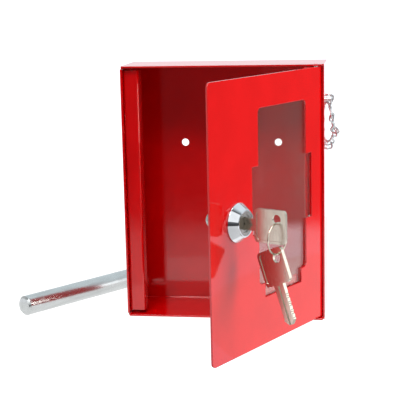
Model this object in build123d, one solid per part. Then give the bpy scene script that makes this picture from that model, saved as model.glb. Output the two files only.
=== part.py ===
from build123d import *
import math
import os

# Emergency key box: a folded sheet-steel case with a glazed, lockable door, a key in the
# lock with a spare on its ring, and a striker rod on a chain.
# Millimetres. +X right, +Y into the wall, +Z up. Origin: middle of the case's bottom face.

# ---- case ----
CASE_W = 118.0
CASE_D = 42.0
CASE_H = 150.0
SHEET = 1.0
BEND_OUTER = 1.6
BEND_INNER = 0.6
CORNER_NOTCH = 1.9            # the side walls' front corners are cut away by this height
CORNER_NOTCH_D = 2.5
HINGE_WALL_SETBACK = 4.0      # the right wall stops short of the front, clear of the door's edge
SCREW_SPACING = 56.4
SCREW_HEIGHT = 100.0
SCREW_HOLE_R = 2.25
FRONT_Y = -CASE_D / 2
BACK_Y = CASE_D / 2
RIGHT_X = CASE_W / 2
LEFT_X = -CASE_W / 2

# ---- hinge and door, modelled closed and then turned open about the pins ----
DOOR_OPEN = 63.7              # degrees from closed at rest
DOOR_RECESS = 0.5             # door face behind the case's front edge
DOOR_SIDE_GAP = 0.7
DOOR_END_GAP = 0.5
DOOR_W = CASE_W - 2 * SHEET - 2 * DOOR_SIDE_GAP
DOOR_Z0 = SHEET + DOOR_END_GAP
DOOR_Z1 = CASE_H - SHEET - DOOR_END_GAP
DOOR_HINGE_X = RIGHT_X - SHEET - DOOR_SIDE_GAP
DOOR_FACE_Y = FRONT_Y + DOOR_RECESS
DOOR_BACK_Y = DOOR_FACE_Y + SHEET
DOOR_CORNER_R = 3.0
PIN_FROM_EDGE = 3.0
PIN_FROM_FACE = 2.1
PIN_X = DOOR_HINGE_X - PIN_FROM_EDGE
PIN_Y = DOOR_FACE_Y + PIN_FROM_FACE
PIN_R = 1.2
PIN_HOLE_R = 1.25
PIN_HEAD_R = 2.2
PIN_HEAD_H = 1.0
EAR_W = 8.0
EAR_D = 7.5
EAR_INSET = 1.0
EAR_CORNER_R = 2.0

# ---- window, glass and the tabs that hold it (distances along the door from its hinge edge) ----
WINDOW_MID = 43.4
WINDOW_HALF_W = 25.1
WINDOW_Z0 = 35.5
WINDOW_Z1 = 131.4
WINDOW_R = 3.0
SIDE_NOTCH_HALF_W = 31.4
SIDE_NOTCH_Z0 = 63.6
SIDE_NOTCH_Z1 = 100.8
FOOT_NOTCH_HALF_W = 19.3
FOOT_NOTCH_Z0 = 27.6
TAB_SLACK = 0.3
TAB_DEPTH = 2.4               # clear depth behind the door for the glass
SIDE_TAB_GRIP = 3.2
FOOT_TAB_GRIP = 4.4
GLASS_T = 2.0
GLASS_HALF_W = 31.1
GLASS_H = 109.0
GLASS_GAP = 0.15

# ---- lock, along its own axis; depth is measured inwards from the door's face ----
LOCK_FROM_HINGE = 89.0
LOCK_X = DOOR_HINGE_X - LOCK_FROM_HINGE
LOCK_Z = 73.9
BEZEL_R = 10.5
BEZEL_FRONT_R = 7.3
BEZEL_RIM = 0.7
BEZEL_PROUD = 5.2
HEAD_R = 6.4
HEAD_PROUD = 4.9
HEAD_FLANGE_R = 8.8
HEAD_FLANGE_T = 2.3
BARREL_R = 8.0
BARREL_FLATS = 14.0
BARREL_END = 11.4
PLUG_R = 4.75
PLUG_BORE_R = 4.8
PLUG_PROUD = 4.3
PLUG_END = 11.8
KEYWAY_W = 2.2
KEYWAY_H = 6.9
KEYWAY_END = 11.0
DRIVE_SQUARE = 6.0
DRIVE_HOLE = 6.1
WASHER_R = 10.4
WASHER_T = 0.8
WASHER_TEETH = 12
WASHER_NOTCH = (1.6, 1.2)     # depth and width of the gaps between its teeth
NUT_FLATS = 19.0
NUT_T = 3.5
STOP_T = 0.6
STOP_R = 6.0
CAM_T = 1.5
CAM_REACH = 23.0
CAM_W = 10.4
CAM_HUB_R = 6.0
CAM_TIP_R = 4.0
STUD_R = 2.4
STUD_L = 3.2
CAM_WASHER_R = 4.0
CAM_WASHER_T = 0.6
CAM_NUT_FLATS = 8.0
CAM_NUT_T = 2.4
CAM_NUT_DOME_R = 3.7
CAM_NUT_DOME_H = 1.6
STOP_DEPTH = PLUG_END + 0.1
CAM_DEPTH = STOP_DEPTH + STOP_T
CAM_BACK = CAM_DEPTH + CAM_T
CAM_NUT_SEAT = CAM_BACK + CAM_WASHER_T
WAFER_COUNT = 5
WAFER_PITCH = 2.1
WAFER_FIRST = -1.0
WAFER_T = 0.5
WAFER_W = 3.6
WAFER_H = 8.4
WAFER_SLACK = 0.1             # each side of a wafer in its slot in the plug
SPRING_OFFSET = 2.85
SPRING_R = 0.5
SPRING_BORE_R = 0.3
SPRING_L = 2.4
LOCK_SLACK = 0.1              # between the lock's fixed pieces

# ---- lock strip: the folded channel that the cam turns behind ----
STRIP_FACE_Y = FRONT_Y + 3.2
STRIP_LIP_W = 9.0
STRIP_RETURN = 9.0
STRIP_WALL_FLANGE = 12.0
STRIP_Z0 = 3.0
STRIP_Z1 = 147.2

# ---- keys ----
BOW_L = 18.6
BOW_W = 17.8
BOW_R = 2.4
KEY_T = 2.0
BOW_RECESS = 0.25
BOW_BORDER = 1.5
BOW_FIELD_R = 1.5
KEY_HOLE_R = 2.5
KEY_HOLE_FROM_END = 5.4
KEY_HOLE_OFFSET = 4.0
BLADE_W = 6.5
BLADE_L = 21.3
BOW_OVERLAP = 1.0             # the blade runs this far into the bow
BLADE_TIP = 2.4
BLADE_TIP_HALF_W = 0.9
CUT_COUNT = 7
CUT_PITCH = 2.1
CUT_FIRST = 4.2               # from the bow to the first cut
CUT_L = 1.6
CUT_RAMP = 0.5
CUT_DEPTHS = (0.2, 0.35)      # shallow and deep cuts by turns
GROOVE_W = 1.3
GROOVE_DEPTH = 0.55
GROOVE_TO_BOW = 0.8
BOW_PROUD = 10.6              # inner end of the bow in front of the door's face
RING_R = 8.1
RING_WIRE_R = 0.5
RING_DROP = KEY_HOLE_R - RING_WIRE_R - 0.1   # ring wire just inside the hole
RING_TURN = -4.7              # the ring's and the spare key's turn about the vertical
SPARE_TURN = -10.7

# ---- chain, its anchor on the right wall, and the striker rod ----
ANCHOR_Y = BACK_Y - 9.0
ANCHOR_Z = 126.7
ANCHOR_SHANK_R = 1.25
ANCHOR_HOLE_R = 1.3
ANCHOR_NECK = 2.0             # shank between the wall and the rivet's head
ANCHOR_HEAD_R = 2.3
ANCHOR_HEAD_T = 1.1
ANCHOR_CLINCH_T = 0.9
CHAIN_D = 6.0
ROD_R = 6.0
ROD_L = 130.0
ROD_CHAMFER = 1.2
ROD_ANGLE = 55.2              # degrees from +X, seen from above
ROD_NEAR_END = (-122.5, -25.2)
ROD_TAP_R = 1.55
ROD_TAP_DEPTH = 9.0
ROD_TAP_SPARE = 0.5           # drilled deeper than the eye's shank reaches
ROD_COLLAR_R = 2.6
ROD_COLLAR_T = 0.8
ROD_EYE_R = 3.1
ROD_EYE_WIRE_R = 0.9
CHAIN_ROUTE = [
    (62.3, 12.0, 123.5), (62.9, 14.0, 113.0), (65.0, 22.0, 103.0), (58.5, 31.0, 93.5),
    (46.5, 38.0, 76.5), (35.0, 47.0, 56.5), (22.0, 54.5, 37.5), (8.0, 64.5, 18.5),
    (-8.0, 75.5, 6.5), (-24.0, 84.5, 3.3), (-40.5, 85.6, 5.6),
]

HINGE_AXIS = Axis((PIN_X, PIN_Y, 0), (0, 0, 1))


def span_box(x0, x1, y0, y1, z0, z1):
    """A box between two corners."""
    return Pos((x0 + x1) / 2, (y0 + y1) / 2, (z0 + z1) / 2) * Box(x1 - x0, y1 - y0, z1 - z0)


def opened(shape):
    """Turn a shape that was modelled on the closed door to where it is at rest."""
    return shape.rotate(HINGE_AXIS, DOOR_OPEN)


def lock_disc(radius, front, back):
    """A cylinder on the lock's axis, between two depths behind the door's face."""
    middle = DOOR_FACE_Y + (front + back) / 2
    return Pos(LOCK_X, middle, LOCK_Z) * Rot(90, 0, 0) * Cylinder(radius, back - front)


def lock_box(width, height, front, back):
    """A box on the lock's axis, between two depths behind the door's face."""
    middle = DOOR_FACE_Y + (front + back) / 2
    return Pos(LOCK_X, middle, LOCK_Z) * Box(width, back - front, height)


def door_box(near, far, y0, y1, z0, z1):
    """A box on the closed door, placed by distances from the door's hinge edge."""
    return span_box(DOOR_HINGE_X - far, DOOR_HINGE_X - near, y0, y1, z0, z1)


# ---- case pieces ----
def make_case_shell():
    middle = Pos(0, 0, CASE_H / 2)
    outer = middle * Box(CASE_W, CASE_D, CASE_H)
    outer = fillet(outer.faces().sort_by(Axis.Y)[-1].edges(), BEND_OUTER)
    cavity = span_box(LEFT_X + SHEET, RIGHT_X - SHEET, FRONT_Y - SHEET, BACK_Y - SHEET,
                      SHEET, CASE_H - SHEET)
    cavity = fillet(cavity.faces().sort_by(Axis.Y)[-1].edges(), BEND_INNER)
    shell = outer - cavity
    for x0, x1 in ((LEFT_X - 1, LEFT_X + SHEET), (RIGHT_X - SHEET, RIGHT_X + 1)):
        for z0, z1 in ((-1, CORNER_NOTCH), (CASE_H - CORNER_NOTCH, CASE_H + 1)):
            shell -= span_box(x0, x1, FRONT_Y - 1, FRONT_Y + CORNER_NOTCH_D, z0, z1)
    shell -= span_box(RIGHT_X - SHEET, RIGHT_X + 1, FRONT_Y - 1, FRONT_Y + HINGE_WALL_SETBACK,
                      SHEET, CASE_H - SHEET)
    for side in (-1, 1):
        place = Pos(side * SCREW_SPACING / 2, BACK_Y, SCREW_HEIGHT) * Rot(90, 0, 0)
        shell -= place * Cylinder(SCREW_HOLE_R, 4 * SHEET)
    for z in (SHEET / 2, CASE_H - SHEET / 2):
        shell -= Pos(PIN_X, PIN_Y, z) * Cylinder(PIN_HOLE_R, 2 * SHEET)
    shell -= Pos(RIGHT_X, ANCHOR_Y, ANCHOR_Z) * Rot(0, 90, 0) * Cylinder(ANCHOR_HOLE_R, 4 * SHEET)
    return shell


def make_lock_strip():
    x0 = LEFT_X + SHEET
    x1 = x0 + STRIP_LIP_W
    y0 = STRIP_FACE_Y
    lip = span_box(x0, x1, y0, y0 + SHEET, STRIP_Z0, STRIP_Z1)
    wall_flange = span_box(x0, x0 + SHEET, y0, y0 + STRIP_WALL_FLANGE, STRIP_Z0, STRIP_Z1)
    return_flange = span_box(x1 - SHEET, x1, y0, y0 + STRIP_RETURN, STRIP_Z0, STRIP_Z1)
    strip = lip + wall_flange + return_flange
    front_edges = strip.edges().filter_by(Axis.Z).group_by(Axis.Y)[0]
    strip = fillet(front_edges, 1.4 * SHEET)
    inner = [e for e in strip.edges().filter_by(Axis.Z)
             if abs(e.center().Y - y0 - SHEET) < 0.01 and x0 + 0.5 < e.center().X < x1 - 0.5]
    return fillet(inner, 0.4 * SHEET)


def wall_disc(radius, x0, x1):
    """A cylinder along X at the chain's anchor, between two distances from the case's middle."""
    return Pos((x0 + x1) / 2, ANCHOR_Y, ANCHOR_Z) * Rot(0, 90, 0) * Cylinder(radius, x1 - x0)


def make_chain_anchor():
    """A rivet whose head stands off the wall, with room behind it for the chain's first link."""
    head_x = RIGHT_X + ANCHOR_NECK
    inner_x = RIGHT_X - SHEET
    head = wall_disc(ANCHOR_HEAD_R, head_x, head_x + ANCHOR_HEAD_T)
    head = fillet(head.edges().filter_by(GeomType.CIRCLE).sort_by(Axis.X)[-1], ANCHOR_HEAD_T / 2)
    clinch = wall_disc(ANCHOR_HEAD_R, inner_x - ANCHOR_CLINCH_T, inner_x)
    return head + wall_disc(ANCHOR_SHANK_R, inner_x, head_x) + clinch


# ---- rod and chain ----
def rod_place():
    x, y = ROD_NEAR_END
    return Pos(x, y, ROD_R) * Rot(0, 0, ROD_ANGLE)


def make_striker_rod():
    rod = Pos(ROD_L / 2, 0, 0) * Rot(0, 90, 0) * Cylinder(ROD_R, ROD_L)
    rod = chamfer(rod.edges().filter_by(GeomType.CIRCLE), ROD_CHAMFER)
    tap = Pos(ROD_L - ROD_TAP_DEPTH / 2, 0, 0) * Rot(0, 90, 0) * Cylinder(ROD_TAP_R, ROD_TAP_DEPTH)
    return rod_place() * (rod - tap)


def make_rod_eye():
    """A threaded eye whose collar seats on the rod's far end."""
    shank_l = ROD_TAP_DEPTH - ROD_TAP_SPARE + ROD_COLLAR_T
    shank = Pos(ROD_L + ROD_COLLAR_T - shank_l / 2, 0, 0) * Rot(0, 90, 0) * Cylinder(ROD_TAP_R, shank_l)
    collar = Pos(ROD_L + ROD_COLLAR_T / 2, 0, 0) * Rot(0, 90, 0) * Cylinder(ROD_COLLAR_R, ROD_COLLAR_T)
    eye_x = ROD_L + ROD_COLLAR_T / 2 + ROD_EYE_R + ROD_EYE_WIRE_R
    eye = Pos(eye_x, 0, 0) * Rot(90, 0, 0) * Torus(ROD_EYE_R, ROD_EYE_WIRE_R)
    return rod_place() * (shank + collar + eye)


def make_chain():
    points = [Vector(*p) for p in CHAIN_ROUTE]
    radii = []
    for before, here, after in zip(points, points[1:], points[2:]):
        run_in = here - before
        run_out = after - here
        half_turn = math.radians(run_in.get_angle(run_out)) / 2
        radii.append(0.45 * min(run_in.length, run_out.length) / math.tan(half_turn))
    path = FilletPolyline(*points, radius=radii)
    print("chain arc radii", [round(r, 1) for r in radii], "length", round(path.length, 1))
    section = Plane(origin=path @ 0, z_dir=path % 0) * Circle(CHAIN_D / 2)
    chain = sweep(section, path=path)
    print("chain volume / (section x length)",
          round(chain.volume / (math.pi * CHAIN_D ** 2 / 4 * path.length), 4))
    return chain


# ---- door pieces ----
def window_cut():
    """The window with its two side notches and its foot notch, through the door's sheet."""
    y0 = DOOR_FACE_Y - 1
    y1 = DOOR_BACK_Y + 1
    window = door_box(WINDOW_MID - WINDOW_HALF_W, WINDOW_MID + WINDOW_HALF_W, y0, y1,
                      WINDOW_Z0, WINDOW_Z1)
    window = fillet(window.edges().filter_by(Axis.Y), WINDOW_R)
    sides = door_box(WINDOW_MID - SIDE_NOTCH_HALF_W, WINDOW_MID + SIDE_NOTCH_HALF_W, y0, y1,
                     SIDE_NOTCH_Z0, SIDE_NOTCH_Z1)
    foot = door_box(WINDOW_MID - FOOT_NOTCH_HALF_W, WINDOW_MID + FOOT_NOTCH_HALF_W, y0, y1,
                    FOOT_NOTCH_Z0, WINDOW_Z0 + 2 * WINDOW_R)
    return window + sides + foot


def side_tab(side):
    """One tab, bent back from the notch's outer edge and then in behind the glass."""
    root = WINDOW_MID + side * SIDE_NOTCH_HALF_W
    outer = root + side * SHEET
    grip = root - side * SIDE_TAB_GRIP
    z0 = SIDE_NOTCH_Z0 + TAB_SLACK
    z1 = SIDE_NOTCH_Z1 - TAB_SLACK
    y1 = DOOR_BACK_Y + TAB_DEPTH + SHEET
    leg = door_box(min(root, outer), max(root, outer), DOOR_BACK_Y, y1, z0, z1)
    lip = door_box(min(outer, grip), max(outer, grip), y1 - SHEET, y1, z0, z1)
    tab = leg + lip
    corner = [e for e in tab.edges().filter_by(Axis.Z)
              if abs(e.center().Y - y1) < 0.01
              and abs(DOOR_HINGE_X - e.center().X - outer) < 0.01]
    return fillet(corner, 0.9 * SHEET)


def foot_tab():
    """The lower tab: a ledge under the glass with an upstand behind it."""
    near = WINDOW_MID - FOOT_NOTCH_HALF_W + TAB_SLACK
    far = WINDOW_MID + FOOT_NOTCH_HALF_W - TAB_SLACK
    y1 = DOOR_BACK_Y + TAB_DEPTH + SHEET
    z0 = FOOT_NOTCH_Z0 - SHEET
    ledge = door_box(near, far, DOOR_BACK_Y, y1, z0, FOOT_NOTCH_Z0)
    upstand = door_box(near, far, y1 - SHEET, y1, z0, FOOT_NOTCH_Z0 + FOOT_TAB_GRIP)
    tab = ledge + upstand
    corner = [e for e in tab.edges().filter_by(Axis.X)
              if abs(e.center().Y - y1) < 0.01 and abs(e.center().Z - z0) < 0.01]
    return fillet(corner, 0.9 * SHEET)


def barrel_profile(slack):
    """The lock barrel's section, a circle with two flats, long enough to cut any sheet."""
    body = lock_disc(BARREL_R + slack, -3, BARREL_END)
    flats = lock_box(BARREL_FLATS + 2 * slack, 3 * BARREL_R, -3, BARREL_END)
    return body & flats


def make_door_panel():
    sheet = door_box(0, DOOR_W, DOOR_FACE_Y, DOOR_BACK_Y, DOOR_Z0, DOOR_Z1)
    free_corners = sheet.edges().filter_by(Axis.Y).group_by(Axis.X)[0]
    sheet = fillet(free_corners, DOOR_CORNER_R)
    sheet = sheet - window_cut() - barrel_profile(LOCK_SLACK)
    ears = []
    for z0 in (DOOR_Z0, DOOR_Z1 - SHEET):
        ear = door_box(EAR_INSET, EAR_INSET + EAR_W, DOOR_FACE_Y, DOOR_FACE_Y + EAR_D, z0, z0 + SHEET)
        rear_corners = ear.edges().filter_by(Axis.Z).group_by(Axis.Y)[-1]
        ears.append(fillet(rear_corners, EAR_CORNER_R))
    panel = sheet + ears[0] + ears[1] + side_tab(-1) + side_tab(1) + foot_tab()
    for z0 in (DOOR_Z0, DOOR_Z1 - SHEET):
        panel -= Pos(PIN_X, PIN_Y, z0 + SHEET / 2) * Cylinder(PIN_R + 0.01, SHEET)
    return opened(panel)


def make_hinge_pin(upper):
    """A headed pin: its head, cut flat against the sheet, bears on the ear, and its shank
    turns in the case wall."""
    ear_face = DOOR_Z1 - SHEET if upper else DOOR_Z0 + SHEET
    tip = CASE_H - 0.1 if upper else 0.1
    toward = 1 if upper else -1
    head = Pos(PIN_X, PIN_Y, ear_face - toward * PIN_HEAD_H / 2) * Cylinder(PIN_HEAD_R, PIN_HEAD_H)
    head -= door_box(0, EAR_W, DOOR_FACE_Y - 1, DOOR_BACK_Y + 0.05, DOOR_Z0, DOOR_Z1)
    shank = Pos(PIN_X, PIN_Y, (ear_face + tip) / 2) * Cylinder(PIN_R, abs(tip - ear_face))
    return opened(head + shank)


def make_glass():
    y0 = DOOR_BACK_Y + GLASS_GAP
    z0 = FOOT_NOTCH_Z0 + GLASS_GAP
    pane = door_box(WINDOW_MID - GLASS_HALF_W, WINDOW_MID + GLASS_HALF_W, y0, y0 + GLASS_T,
                    z0, z0 + GLASS_H)
    return opened(chamfer(pane.edges(), 0.15))


# ---- lock pieces that stay with the door ----
def make_lock_bezel():
    profile = Polyline(
        (HEAD_FLANGE_R + 0.1, 0), (BEZEL_R, 0), (BEZEL_R, BEZEL_RIM), (BEZEL_FRONT_R, BEZEL_PROUD - 0.25),
        (BEZEL_FRONT_R - 0.35, BEZEL_PROUD), (HEAD_R + 0.05, BEZEL_PROUD),
        (HEAD_R + 0.05, HEAD_FLANGE_T + 0.1),
        (HEAD_FLANGE_R + 0.1, HEAD_FLANGE_T + 0.1), (HEAD_FLANGE_R + 0.1, 0))
    cap = revolve(make_face(Plane.XZ * profile), Axis.Z, 360)
    return opened(Pos(LOCK_X, DOOR_FACE_Y, LOCK_Z) * Rot(90, 0, 0) * cap)


def make_lock_housing():
    head = lock_disc(HEAD_R, -HEAD_PROUD, 0) + lock_disc(HEAD_FLANGE_R, -HEAD_FLANGE_T, 0)
    barrel = barrel_profile(0) & lock_disc(2 * BARREL_R, 0, BARREL_END)
    bore = lock_disc(PLUG_BORE_R, -HEAD_PROUD - 1, BARREL_END + 1)
    return opened(head + barrel - bore)


def make_lock_washer():
    ring = lock_disc(WASHER_R, SHEET, SHEET + WASHER_T)
    depth, width = WASHER_NOTCH
    middle = Pos(LOCK_X, DOOR_FACE_Y + SHEET, LOCK_Z)
    for i in range(WASHER_TEETH):
        turn = Rot(0, i * 360 / WASHER_TEETH, 0)
        ring -= middle * turn * Pos(WASHER_R, 0, 0) * Box(depth, 4 * WASHER_T, width)
    return opened(ring - lock_disc(BARREL_R + LOCK_SLACK, -1, 4))


def hex_nut(flats, bore_r, front, back):
    """A hexagon nut on the lock's axis, between two depths behind the door's face."""
    hexagon = extrude(RegularPolygon(flats / math.sqrt(3), 6), back - front)
    nut = Pos(LOCK_X, DOOR_FACE_Y + back, LOCK_Z) * Rot(90, 0, 0) * hexagon
    return nut - lock_disc(bore_r, front - 1, back + 1)


def make_lock_nut():
    front = SHEET + WASHER_T
    return opened(hex_nut(NUT_FLATS, BARREL_R + 0.05, front, front + NUT_T))


# ---- lock pieces that turn with the key ----
def wafer_depths():
    return [WAFER_FIRST + i * WAFER_PITCH for i in range(WAFER_COUNT)]


def spring_places():
    return [Pos(LOCK_X + SPRING_OFFSET, DOOR_FACE_Y + d + WAFER_T / 2, LOCK_Z) for d in wafer_depths()]


def make_lock_plug():
    plug = lock_disc(PLUG_R, -PLUG_PROUD, PLUG_END)
    plug += lock_box(DRIVE_SQUARE, DRIVE_SQUARE, PLUG_END, CAM_BACK)
    plug -= lock_box(KEYWAY_W, KEYWAY_H, -PLUG_PROUD - 1, KEYWAY_END)
    plug += lock_disc(STUD_R, CAM_BACK, CAM_BACK + STUD_L)
    for depth in wafer_depths():
        plug -= lock_box(WAFER_W + 2 * WAFER_SLACK, WAFER_H + 2 * WAFER_SLACK,
                         depth - WAFER_SLACK / 2, depth + WAFER_T + WAFER_SLACK / 2)
    for place in spring_places():
        plug -= place * Cylinder(SPRING_R + WAFER_SLACK, SPRING_L + 2 * WAFER_SLACK)
    return opened(plug)


def make_wafers():
    wafers = []
    for depth in wafer_depths():
        plate = lock_box(WAFER_W, WAFER_H, depth, depth + WAFER_T)
        wafers.append(opened(plate - lock_box(KEYWAY_W + 0.5, KEYWAY_H + 0.2, depth - 1, depth + 2)))
    return Compound(children=wafers)


def make_tumbler_springs():
    coil = Cylinder(SPRING_R, SPRING_L) - Cylinder(SPRING_BORE_R, 2 * SPRING_L)
    return Compound(children=[opened(place * coil) for place in spring_places()])


def make_stop_washer():
    washer = lock_disc(STOP_R, STOP_DEPTH, STOP_DEPTH + STOP_T)
    return opened(washer - lock_box(DRIVE_HOLE, DRIVE_HOLE, STOP_DEPTH - 1, STOP_DEPTH + STOP_T + 1))


def make_cam():
    """A straight cam, pointing down when the lock is open."""
    arm = Pos(LOCK_X, DOOR_FACE_Y + CAM_DEPTH + CAM_T / 2, LOCK_Z - CAM_REACH / 2) * Box(
        CAM_W, CAM_T, CAM_REACH)
    arm = fillet(arm.edges().filter_by(Axis.Y).group_by(Axis.Z)[0], CAM_TIP_R)
    cam = arm + lock_disc(CAM_HUB_R, CAM_DEPTH, CAM_BACK)
    return opened(cam - lock_box(DRIVE_HOLE, DRIVE_HOLE, CAM_DEPTH - 1, CAM_BACK + 1))


def make_cam_washer():
    ring = lock_disc(CAM_WASHER_R, CAM_BACK, CAM_NUT_SEAT)
    return opened(ring - lock_disc(STUD_R + 0.1, CAM_BACK - 1, CAM_NUT_SEAT + 1))


def make_cam_nut():
    """A domed cap nut on the plug's stud."""
    dome_start = CAM_NUT_SEAT + CAM_NUT_T
    dome_end = dome_start + CAM_NUT_DOME_H
    dome = lock_disc(CAM_NUT_DOME_R, dome_start, dome_end)
    rim = dome.edges().filter_by(GeomType.CIRCLE).sort_by(Axis.Y)[-1]
    dome = fillet(rim, CAM_NUT_DOME_H - 0.1)
    nut = hex_nut(CAM_NUT_FLATS, STUD_R + 0.05, CAM_NUT_SEAT, dome_start)
    socket = lock_disc(STUD_R + 0.05, CAM_NUT_SEAT, CAM_BACK + STUD_L + 0.1)
    return opened(nut + dome - socket)


# ---- keys and their ring ----
def blade_outline():
    """Blade outline from the bow to the tip, with shallow cuts along both edges."""
    half = BLADE_W / 2
    cuts = []
    for i in range(CUT_COUNT):
        start = -CUT_FIRST - CUT_PITCH * i
        floor = half - CUT_DEPTHS[i % 2]
        cuts += [(start, half), (start - CUT_RAMP, floor), (start - CUT_L + CUT_RAMP, floor),
                 (start - CUT_L, half)]
    shoulder = BLADE_TIP - BLADE_L
    tip = [(shoulder, half), (-BLADE_L, BLADE_TIP_HALF_W), (-BLADE_L, -BLADE_TIP_HALF_W), (shoulder, -half)]
    lower = [(x, -y) for x, y in reversed(cuts)]
    return [(BOW_OVERLAP, half)] + cuts + tip + lower + [(BOW_OVERLAP, -half)]


def make_key():
    """A flat key in its own frame: +X towards the end of the bow, +Y towards the ring hole."""
    bow = Pos(BOW_L / 2, 0, 0) * Box(BOW_L, BOW_W, KEY_T)
    bow = fillet(bow.edges().filter_by(Axis.Z), BOW_R)
    field = Pos(BOW_L / 2, 0, 0) * Box(BOW_L - 2 * BOW_BORDER, BOW_W - 2 * BOW_BORDER, KEY_T)
    field = fillet(field.edges().filter_by(Axis.Z), BOW_FIELD_R)
    for side in (-1, 1):
        bow -= Pos(0, 0, side * (KEY_T - BOW_RECESS)) * field
    blade = extrude(make_face(Polyline(*blade_outline(), close=True)), KEY_T / 2, both=True)
    for side in (-1, 1):
        z = side * (KEY_T / 2)
        blade -= Pos(-BLADE_L / 2 - GROOVE_TO_BOW, 0, z) * Box(BLADE_L, GROOVE_W, 2 * GROOVE_DEPTH)
    key = bow + blade
    return key - Pos(BOW_L - KEY_HOLE_FROM_END, KEY_HOLE_OFFSET, 0) * Cylinder(KEY_HOLE_R, 2 * KEY_T)


def horizontal(angle):
    """A level unit vector, by its angle from +X seen from above."""
    return Vector(math.cos(math.radians(angle)), math.sin(math.radians(angle)), 0)


OUTWARD = horizontal(DOOR_OPEN - 90)          # out of the open door's face
UP = Vector(0, 0, 1)


def closed_to_rest(x, y, z):
    """Where a point of the closed door is at rest."""
    return Vector(*opened(Vertex(x, y, z)).center())


def key_hole_place():
    reach = BOW_PROUD + BOW_L - KEY_HOLE_FROM_END
    return closed_to_rest(LOCK_X, DOOR_FACE_Y - reach, LOCK_Z + KEY_HOLE_OFFSET)


def ring_pivot():
    return key_hole_place() - UP * RING_DROP


def spare_pivot():
    return ring_pivot() - UP * 2 * RING_R


def make_lock_key():
    frame = Plane(origin=(LOCK_X, DOOR_FACE_Y - BOW_PROUD, LOCK_Z), x_dir=(0, -1, 0), z_dir=(-1, 0, 0))
    return opened(frame.location * make_key())


def make_key_ring():
    middle = ring_pivot() - UP * RING_R
    frame = Plane(origin=middle, x_dir=UP, z_dir=horizontal(DOOR_OPEN - 90 + RING_TURN))
    return frame.location * Torus(RING_R, RING_WIRE_R)


def make_spare_key():
    """The spare hangs with its centre of mass under the point where the ring holds it."""
    key = make_key()
    centre = key.center(CenterOf.MASS)
    hole_x = BOW_L - KEY_HOLE_FROM_END
    tilt = math.atan2(KEY_HOLE_OFFSET - centre.Y, hole_x - centre.X)
    across = horizontal(DOOR_OPEN - 90 + SPARE_TURN)
    along = UP * math.cos(tilt) - across * math.sin(tilt)
    sideways = across * math.cos(tilt) + UP * math.sin(tilt)
    hole = spare_pivot() - UP * RING_DROP
    origin = hole - along * hole_x - sideways * KEY_HOLE_OFFSET
    frame = Plane(origin=origin, x_dir=along, z_dir=UP.cross(across))
    print("spare key tilt", round(math.degrees(tilt), 1))
    return frame.location * key


PARTS = {
    "case_shell": make_case_shell,
    "lock_strip": make_lock_strip,
    "chain_anchor": make_chain_anchor,
    "chain": make_chain,
    "striker_rod": make_striker_rod,
    "rod_eye": make_rod_eye,
    "door_panel": make_door_panel,
    "upper_hinge_pin": lambda: make_hinge_pin(True),
    "lower_hinge_pin": lambda: make_hinge_pin(False),
    "glass_pane": make_glass,
    "lock_bezel": make_lock_bezel,
    "lock_housing": make_lock_housing,
    "lock_washer": make_lock_washer,
    "lock_nut": make_lock_nut,
    "lock_plug": make_lock_plug,
    "wafer_tumblers": make_wafers,
    "tumbler_springs": make_tumbler_springs,
    "stop_washer": make_stop_washer,
    "cam": make_cam,
    "cam_washer": make_cam_washer,
    "cam_nut": make_cam_nut,
    "lock_key": make_lock_key,
    "key_ring": make_key_ring,
    "spare_key": make_spare_key,
}

os.makedirs("parts", exist_ok=True)
for name, make in PARTS.items():
    export_step(make(), f"parts/{name}.step")

print("hinge axis", (PIN_X, PIN_Y))
print("lock axis point", closed_to_rest(LOCK_X, DOOR_FACE_Y, LOCK_Z), "outward", OUTWARD)
print("ring pivot", ring_pivot(), "spare pivot", spare_pivot())
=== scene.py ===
import math

import bpy
from mathutils import Matrix, Quaternion, Vector


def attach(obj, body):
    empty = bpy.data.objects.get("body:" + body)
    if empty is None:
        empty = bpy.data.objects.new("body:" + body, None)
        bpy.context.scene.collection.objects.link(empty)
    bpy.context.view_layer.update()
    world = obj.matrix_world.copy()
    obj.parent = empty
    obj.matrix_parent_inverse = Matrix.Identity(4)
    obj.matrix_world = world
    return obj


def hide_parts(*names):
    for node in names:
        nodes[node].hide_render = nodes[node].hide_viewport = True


# Looks of the emergency key box: its camera, studio, materials and the links of its chain.
# Metres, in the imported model's frame: origin in the middle of the case's bottom face, +X right,
# +Y into the wall, +Z up.

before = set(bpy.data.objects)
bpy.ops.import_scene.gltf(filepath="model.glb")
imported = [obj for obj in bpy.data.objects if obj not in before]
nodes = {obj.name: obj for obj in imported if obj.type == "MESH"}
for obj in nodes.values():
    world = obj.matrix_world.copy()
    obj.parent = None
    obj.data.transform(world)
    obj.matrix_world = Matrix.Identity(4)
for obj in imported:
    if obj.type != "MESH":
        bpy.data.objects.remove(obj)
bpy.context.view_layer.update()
scene = bpy.context.scene

# ---- camera ----
CAMERA_AT = Vector((0.09161, -0.68834, 0.19754))
CAMERA_AIM = Vector((-0.01444, -0.01839, 0.07097))
CAMERA_ROLL = math.radians(-1.288)
CAMERA_LENS = 105.45
CAMERA_SENSOR = 36.0
CAMERA_SHIFT = 0.0023

# ---- studio ----
FLOOR_RADIUS = 0.20
FLOOR_MIDDLE_Y = 0.10
FLOOR_LIGHT = 1.25
FLOOR_STEPS = 96
FLOOR_DROP = 0.0002           # below the case's bottom face
SURROUND_LIGHT = (1.38, 1.40, 1.50)
FRONT_GROUND = 0.85           # the same surround in front of the box
GROUND_LIGHT = 0.8

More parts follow.
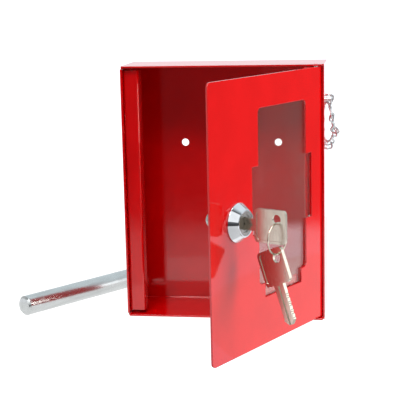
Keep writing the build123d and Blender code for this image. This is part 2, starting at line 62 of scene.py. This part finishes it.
# Where one part of the surround fades into the next. Heights are a direction's z, across is its x,
# and behind is the y of its level heading.
FRONT_GROUND_BEHIND = (-0.93, -0.70)
GROUND_HORIZON = -0.42        # below this height the white surround gives way to dimmer ground
GROUND_BLUR = 0.1
FLOOR_HORIZON = -0.206        # height of the white surround's upper edge
FLOOR_BLUR = 0.006
BACKDROP_SIDE = (0.72, 0.86)  # where the white backdrop fades out to either side
BACKDROP_TOP = (0.0, 0.05)
FRONT_HEIGHT = (-0.02, 0.12)
SIDE_HEIGHT = (-0.01, 0.07)
FRONT_TO_SIDE = (-0.6, 0.3)
OVERHEAD_HEIGHT = (0.85, 0.98)
LEFT_SIDE = (-0.75, -0.50)
FAR_LEFT_SIDE = (-0.97, -0.90)

SIDE_GREY = (0.21, 0.17, 0.165)
UPPER_LIGHT = (0.95, 1.05, 1.10)
LEFT_LIGHT = (0.76, 0.78, 0.78)
FAR_LEFT_LIGHT = (1.20, 1.22, 1.22)
FRONT_GREY = (0.07, 0.07, 0.075)
FRONT_LIGHT = (0.17, 0.18, 0.19)

STUDIO_AIM = Vector((0, -0.02, 0.075))
SOFTBOX_DISTANCE = 1.2

# ---- chain and striker rod ----
CHAIN_ROUTE = [
    (0.0608, 0.0120, 0.1235), (0.0622, 0.0140, 0.1130), (0.0645, 0.0220, 0.1045),
    (0.0585, 0.0310, 0.0955), (0.0465, 0.0380, 0.0765), (0.0350, 0.0470, 0.0565),
    (0.0220, 0.0545, 0.0375), (0.0080, 0.0645, 0.0185), (-0.0080, 0.0755, 0.0065),
    (-0.0240, 0.0845, 0.0033), (-0.0405, 0.0856, 0.0056),
]
LINK_WIRE = 0.0013
LINK_PITCH = 0.0124
LINK_HALF_WIDTH = 0.0027      # to the middle of the wire, at the widest part of an eye
LINK_NECK = 0.0016            # half the length of the twist between a link's two eyes
LINK_OVERLAP = 0.6            # how far a link reaches past its share of the chain, in wire diameters
LINK_ROLL = 12                # degrees
LINK_ROLL_STEP = 2.1          # radians of the wave in the roll, from one link to the next
EYE_LEAD = 0.0006             # from the twist to the eye's first point
EYE_LEAD_WIDTH = 1.2          # in wire radii
EYE_SHAPE = ((0.45, 0.55), (0.74, 1.15), (0.97, 0.80), (1.06, 0.28))  # shares of half length and width
TWIST_STEPS = 5
TWIST_TURN = 1.5 * math.pi
ANCHOR_HOOK = Vector((0.0603, 0.0120, 0.1284))  # where the first link rests on the rivet
ROD_EYE_HOOK = Vector((-0.0449, 0.0864, 0.0060))  # where the last link passes through the rod's eye
ROD_ANGLE = math.radians(55.2)


# ---- short names for node trees ----
def node(tree, kind, settings=None, **inputs):
    """Add a node. Inputs are sockets to link or values to set, by the socket's name."""
    made = tree.nodes.new(kind)
    for name, value in (settings or {}).items():
        setattr(made, name, value)
    for name, value in inputs.items():
        feed(tree, made.inputs[name.replace("_", " ")], value)
    return made


def feed(tree, socket, value):
    if isinstance(value, bpy.types.NodeSocket):
        tree.links.new(value, socket)
    else:
        socket.default_value = value


def calc(tree, operation, *values):
    made = tree.nodes.new("ShaderNodeMath")
    made.operation = operation
    for socket, value in zip(made.inputs, values):
        feed(tree, socket, value)
    return made.outputs[0]


def ramp(tree, value, low, high, start=0.0, end=1.0):
    """A smooth step from start to end as value goes from low to high."""
    made = node(tree, "ShaderNodeMapRange", {"interpolation_type": "SMOOTHSTEP"}, Value=value,
                From_Min=low, From_Max=high, To_Min=start, To_Max=end)
    return made.outputs[0]


def blend_colour(tree, factor, first, second):
    made = tree.nodes.new("ShaderNodeMix")
    made.data_type = "RGBA"
    for socket, value in ((made.inputs[0], factor), (made.inputs[6], first), (made.inputs[7], second)):
        if isinstance(value, tuple):
            value = (*value, 1.0)
        feed(tree, socket, value)
    return made.outputs[2]


def noise(tree, place, scale, detail=2.0, roughness=0.5):
    made = node(tree, "ShaderNodeTexNoise", Vector=place, Scale=scale, Detail=detail, Roughness=roughness)
    return made.outputs[0]


def own_place(tree, stretch=(1, 1, 1), turn=(0, 0, 0)):
    """A piece's own coordinates, stretched along its turned axes for a directional grain."""
    place = node(tree, "ShaderNodeTexCoord").outputs["Object"]
    turned = node(tree, "ShaderNodeMapping", Vector=place, Rotation=turn).outputs[0]
    return node(tree, "ShaderNodeMapping", Vector=turned, Scale=stretch).outputs[0]


def bump(tree, height, distance, normal=None):
    made = node(tree, "ShaderNodeBump", Height=height, Distance=distance, Strength=1.0)
    if normal is not None:
        feed(tree, made.inputs["Normal"], normal)
    return made.outputs[0]


def soft_edge(tree, radius):
    return node(tree, "ShaderNodeBevel", {"samples": 6}, Radius=radius).outputs[0]


def principled(name, **inputs):
    """A material with one Principled shader, its fixed inputs set."""
    material = bpy.data.materials.new(name)
    material.use_nodes = True
    tree = material.node_tree
    tree.nodes.clear()
    shader = node(tree, "ShaderNodeBsdfPrincipled", **inputs)
    output = tree.nodes.new("ShaderNodeOutputMaterial")
    tree.links.new(shader.outputs[0], output.inputs["Surface"])
    return material, tree, shader


# ---- materials ----
def red_enamel():
    """Gloss powder coat on sheet steel: orange peel, slightly uneven gloss, rounded edges."""
    material, tree, shader = principled("red_enamel", IOR=1.6)
    place = own_place(tree)
    cloudy = noise(tree, place, 60, 3)
    peel = noise(tree, place, 520, 1.5)
    ripple = noise(tree, place, 170, 1)
    feed(tree, shader.inputs["Base Color"],
         blend_colour(tree, ramp(tree, cloudy, 0.3, 0.7), (0.49, 0.0002, 0.0008), (0.53, 0.0006, 0.0014)))
    feed(tree, shader.inputs["Roughness"], ramp(tree, peel, 0.2, 0.8, 0.05, 0.10))
    height = calc(tree, "ADD", peel, calc(tree, "MULTIPLY", ripple, 2.0))
    feed(tree, shader.inputs["Normal"], bump(tree, height, 3.0e-6, soft_edge(tree, 0.0003)))
    return material


def metal(name, light, dark, roughness, grain=900, stretch=(1, 1, 1), turn=(0, 0, 0), relief=1.5e-6,
          edge=0.0002):
    """A bare or plated metal with a fine grain in its colour, gloss and surface."""
    material, tree, shader = principled(name, Metallic=1.0)
    place = own_place(tree, stretch, turn)
    lines = noise(tree, place, grain, 4, 0.6)
    patches = noise(tree, own_place(tree), 110, 2)
    shade = calc(tree, "ADD", calc(tree, "MULTIPLY", lines, 0.6), calc(tree, "MULTIPLY", patches, 0.4))
    feed(tree, shader.inputs["Base Color"], blend_colour(tree, ramp(tree, shade, 0.35, 0.65), dark, light))
    feed(tree, shader.inputs["Roughness"], ramp(tree, shade, 0.3, 0.7, roughness[1], roughness[0]))
    feed(tree, shader.inputs["Normal"], bump(tree, lines, relief, soft_edge(tree, edge)))
    return material


def glass():
    """Clear float glass, very faintly tinted, with a thin uneven film of dust."""
    material, tree, shader = principled("glass", IOR=1.6, Transmission_Weight=0.993)
    smear = noise(tree, own_place(tree), 45, 3)
    feed(tree, shader.inputs["Base Color"], blend_colour(tree, smear, (0.95, 0.96, 0.90), (0.97, 0.98, 0.93)))
    feed(tree, shader.inputs["Roughness"], ramp(tree, smear, 0.4, 0.75, 0.0, 0.012))
    return material


def make_materials():
    return {
        "red_enamel": red_enamel(),
        "zinc": metal("zinc", (0.66, 0.68, 0.68), (0.50, 0.51, 0.52), (0.20, 0.34)),
        "rod_zinc": metal("rod_zinc", (0.52, 0.54, 0.54), (0.44, 0.455, 0.455), (0.24, 0.32), grain=420,
                          stretch=(0.12, 1, 1), turn=(0, 0, -ROD_ANGLE), relief=3e-7),
        "chrome": metal("chrome", (0.70, 0.72, 0.75), (0.64, 0.66, 0.69), (0.05, 0.09), grain=300,
                        relief=3e-7),
        "plug_nickel": metal("plug_nickel", (0.46, 0.45, 0.43), (0.30, 0.29, 0.27), (0.16, 0.28)),
        "key_nickel": metal("key_nickel", (0.60, 0.53, 0.44), (0.52, 0.46, 0.38), (0.20, 0.28), grain=1500,
                            stretch=(1, 1, 0.08), relief=3e-7, edge=0.00012),
        "brass": metal("brass", (0.80, 0.60, 0.28), (0.60, 0.42, 0.17), (0.18, 0.32)),
        "glass": glass(),
    }


def material_of(name):
    """Which material a CAD node is made of."""
    if name in ("case_shell", "lock_strip", "door_panel"):
        return "red_enamel"
    if name in ("lock_key", "spare_key", "key_ring"):
        return "key_nickel"
    if name in ("wafer_tumblers", "tumbler_springs"):
        return "brass"
    if name in ("lock_housing", "lock_plug", "cam_nut"):
        return "plug_nickel"
    special = {"glass_pane": "glass", "lock_bezel": "chrome", "striker_rod": "rod_zinc"}
    return special.get(name, "zinc")


def dress_nodes(materials):
    for name, piece in nodes.items():
        piece.data.materials.clear()
        piece.data.materials.append(materials[material_of(name)])


# ---- chain ----
def add_object(name, data):
    made = bpy.data.objects.new(name, data)
    scene.collection.objects.link(made)
    return made


def spline_curve(name, points, order=3, closed=False, bevel=0.0):
    """A NURBS curve through free control points, as a new curve datablock."""
    data = bpy.data.curves.new(name, "CURVE")
    data.dimensions = "3D"
    data.bevel_depth = bevel
    data.bevel_resolution = 4
    spline = data.splines.new("NURBS")
    spline.points.add(len(points) - 1)
    for point, place in zip(spline.points, points):
        point.co = (*place, 1.0)
    spline.order_u = order
    spline.resolution_u = 12
    if closed:
        spline.use_cyclic_u = True
    else:
        spline.use_endpoint_u = True
    return data


def mesh_of(curve_data):
    holder = add_object("holder", curve_data)
    bpy.context.view_layer.update()
    mesh = bpy.data.meshes.new_from_object(holder)
    bpy.data.objects.remove(holder)
    return mesh


def route_points():
    mesh = mesh_of(spline_curve("chain_route", CHAIN_ROUTE))
    return [v.co.copy() for v in mesh.vertices]


def along(points, distance):
    """The point at a distance along a polyline."""
    for before, after in zip(points, points[1:]):
        step = (after - before).length
        if distance <= step or after is points[-1]:
            return before + (after - before) * (distance / step)
        distance -= step


def link_wire(half_length):
    """Control points of one link's wire: two eyes a quarter turn apart, joined by a twist."""
    neck = LINK_WIRE / 2
    eye = [(LINK_NECK + EYE_LEAD, EYE_LEAD_WIDTH * neck)]
    eye += [(reach * half_length, width * LINK_HALF_WIDTH) for reach, width in EYE_SHAPE]
    first = [(x, r, 0.0) for x, r in eye] + [(x, -r, 0.0) for x, r in reversed(eye)]
    twist = []
    for i in range(TWIST_STEPS):
        share = (i + 0.5) / TWIST_STEPS
        angle = math.pi + share * TWIST_TURN
        twist.append((LINK_NECK * (1 - 2 * share), neck * math.cos(angle), neck * math.sin(angle)))
    second = [(-x, z, y) for x, y, z in first]
    back = [(x, -y, -z) for x, y, z in reversed(twist)]
    return first + twist + second + back


def make_link(half_length):
    """One link along X, centred on the origin, as a mesh."""
    curve = spline_curve("link_wire", link_wire(half_length), order=4, closed=True, bevel=LINK_WIRE / 2)
    return mesh_of(curve)


def frame_along(direction, roll):
    """A rotation that takes X to a direction, with Y as level as it can be and then rolled."""
    x = direction.normalized()
    y = Vector((0, 0, 1)).cross(x)
    if y.length < 0.2:
        y = Vector((0, 1, 0)) - x * x.y
    y.normalize()
    z = x.cross(y)
    turn = Matrix((x, y, z)).transposed()
    return turn.to_4x4() @ Matrix.Rotation(roll, 4, "X")


def make_chain(materials):
    points = route_points()
    length = sum((b - a).length for a, b in zip(points, points[1:]))
    lead = (ANCHOR_HOOK - points[0]).length
    count = round((length + lead) / LINK_PITCH)
    pitch = (length + lead) / count
    joints = [ANCHOR_HOOK] + [along(points, i * pitch - lead) for i in range(1, count)] + [ROD_EYE_HOOK]
    link = make_link(pitch / 2 + LINK_OVERLAP * LINK_WIRE)
    vertices, faces = [], []
    for i, (start, end) in enumerate(zip(joints, joints[1:])):
        roll = math.radians(LINK_ROLL * math.sin(LINK_ROLL_STEP * i))
        place = Matrix.Translation((start + end) / 2) @ frame_along(end - start, roll)
        offset = len(vertices)
        vertices += [place @ v.co for v in link.vertices]
        faces += [[offset + v for v in face.vertices] for face in link.polygons]
    mesh = bpy.data.meshes.new("chain_links")
    mesh.from_pydata(vertices, [], faces)
    mesh.polygons.foreach_set("use_smooth", [True] * len(mesh.polygons))
    mesh.materials.append(materials["zinc"])
    chain = add_object("chain_links", mesh)
    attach(chain, "case")
    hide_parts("chain")


# ---- camera and studio ----
def make_camera():
    data = bpy.data.cameras.new("camera")
    data.lens = CAMERA_LENS
    data.sensor_width = CAMERA_SENSOR
    data.shift_x = CAMERA_SHIFT
    data.clip_start = 0.02
    camera = add_object("camera", data)
    camera.location = CAMERA_AT
    camera.rotation_mode = "QUATERNION"
    level = (CAMERA_AIM - CAMERA_AT).to_track_quat("-Z", "Y")
    camera.rotation_quaternion = level @ Quaternion((0, 0, 1), CAMERA_ROLL)
    scene.camera = camera


def make_floor():
    """A round white table top, which glows so that it reads as plain white."""
    turns = [2 * math.pi * i / FLOOR_STEPS for i in range(FLOOR_STEPS)]
    rim = [(FLOOR_RADIUS * math.cos(t), FLOOR_MIDDLE_Y + FLOOR_RADIUS * math.sin(t), -FLOOR_DROP)
           for t in turns]
    mesh = bpy.data.meshes.new("floor")
    mesh.from_pydata(rim, [], [list(range(FLOOR_STEPS))])
    material = bpy.data.materials.new("floor")
    material.use_nodes = True
    tree = material.node_tree
    tree.nodes.clear()
    glow = node(tree, "ShaderNodeEmission", Color=(1, 1, 1, 1), Strength=FLOOR_LIGHT)
    output = tree.nodes.new("ShaderNodeOutputMaterial")
    tree.links.new(glow.outputs[0], output.inputs["Surface"])
    mesh.materials.append(material)
    floor = add_object("floor", mesh)


def make_world():
    """White below and behind, dark in front, and pale to the left, to the sides and above."""
    world = bpy.data.worlds.new("studio")
    world.use_nodes = True
    tree = world.node_tree
    tree.nodes.clear()
    direction = node(tree, "ShaderNodeTexCoord").outputs["Generated"]
    split = node(tree, "ShaderNodeSeparateXYZ", Vector=direction)
    across, height = split.outputs[0], split.outputs[2]
    level = node(tree, "ShaderNodeVectorMath", {"operation": "MULTIPLY"})
    feed(tree, level.inputs[0], direction)
    level.inputs[1].default_value = (1, 1, 0)
    heading = node(tree, "ShaderNodeVectorMath", {"operation": "NORMALIZE"})
    feed(tree, heading.inputs[0], level.outputs[0])
    behind = node(tree, "ShaderNodeSeparateXYZ", Vector=heading.outputs[0]).outputs[1]
    table = blend_colour(tree, ramp(tree, behind, *FRONT_GROUND_BEHIND), (FRONT_GROUND,) * 3, SURROUND_LIGHT)
    front = blend_colour(tree, ramp(tree, height, *FRONT_HEIGHT), FRONT_GREY, FRONT_LIGHT)
    side = blend_colour(tree, ramp(tree, height, *SIDE_HEIGHT), SIDE_GREY, UPPER_LIGHT)
    sides = blend_colour(tree, ramp(tree, behind, *FRONT_TO_SIDE), front, side)
    round_about = blend_colour(tree, ramp(tree, height, *OVERHEAD_HEIGHT), sides, UPPER_LIGHT)
    backdrop = calc(tree, "MULTIPLY", ramp(tree, behind, *BACKDROP_SIDE),
                    ramp(tree, height, *BACKDROP_TOP, 1, 0))
    left = blend_colour(tree, ramp(tree, across, *FAR_LEFT_SIDE, 1, 0), LEFT_LIGHT, FAR_LEFT_LIGHT)
    lit_left = blend_colour(tree, ramp(tree, across, *LEFT_SIDE, 1, 0), round_about, left)
    walls = blend_colour(tree, backdrop, lit_left, SURROUND_LIGHT)
    below_floor_horizon = ramp(tree, height, FLOOR_HORIZON - FLOOR_BLUR, FLOOR_HORIZON + FLOOR_BLUR, 1, 0)
    around = blend_colour(tree, below_floor_horizon, walls, table)
    below_ground_horizon = ramp(tree, height, GROUND_HORIZON - GROUND_BLUR,
                                GROUND_HORIZON + GROUND_BLUR, 1, 0)
    colour = blend_colour(tree, below_ground_horizon, around, (GROUND_LIGHT,) * 3)
    background = node(tree, "ShaderNodeBackground", Color=colour, Strength=1.0)
    output = tree.nodes.new("ShaderNodeOutputWorld")
    tree.links.new(background.outputs[0], output.inputs["Surface"])
    scene.world = world


def make_softbox(name, azimuth, elevation, size, radiance, matt=True, gloss=True):
    """A rectangular softbox that points at the middle of the case. It lights matt surfaces,
    shows in glossy ones, or both."""
    heading, rise = math.radians(azimuth), math.radians(elevation)
    toward = Vector((math.cos(heading) * math.cos(rise), math.sin(heading) * math.cos(rise), math.sin(rise)))
    data = bpy.data.lights.new(name, "AREA")
    data.shape = "RECTANGLE"
    data.size, data.size_y = size
    data.energy = radiance * math.pi * size[0] * size[1]
    lamp = add_object(name, data)
    lamp.location = STUDIO_AIM + toward * SOFTBOX_DISTANCE
    lamp.rotation_mode = "QUATERNION"
    lamp.rotation_quaternion = (-toward).to_track_quat("-Z", "Y")
    lamp.visible_camera = False
    lamp.visible_diffuse = matt
    lamp.visible_glossy = gloss


def make_studio():
    make_floor()
    make_world()
    make_softbox("top_softbox", azimuth=-97, elevation=53, size=(0.6, 0.32), radiance=15.0)
    make_softbox("overhead_softbox", azimuth=-90, elevation=80, size=(0.6, 0.35), radiance=8.0)
    make_softbox("front_card", azimuth=-85, elevation=35, size=(1.7, 1.15), radiance=1.05, matt=False)
    make_softbox("side_card", azimuth=-5, elevation=2, size=(0.9, 0.9), radiance=1.6, matt=False)
    make_softbox("side_softbox", azimuth=-8, elevation=14, size=(0.6, 0.9), radiance=10.2, gloss=False)
    scene.view_settings.view_transform = "Standard"


make_camera()
finishes = make_materials()
dress_nodes(finishes)
make_chain(finishes)
make_studio()
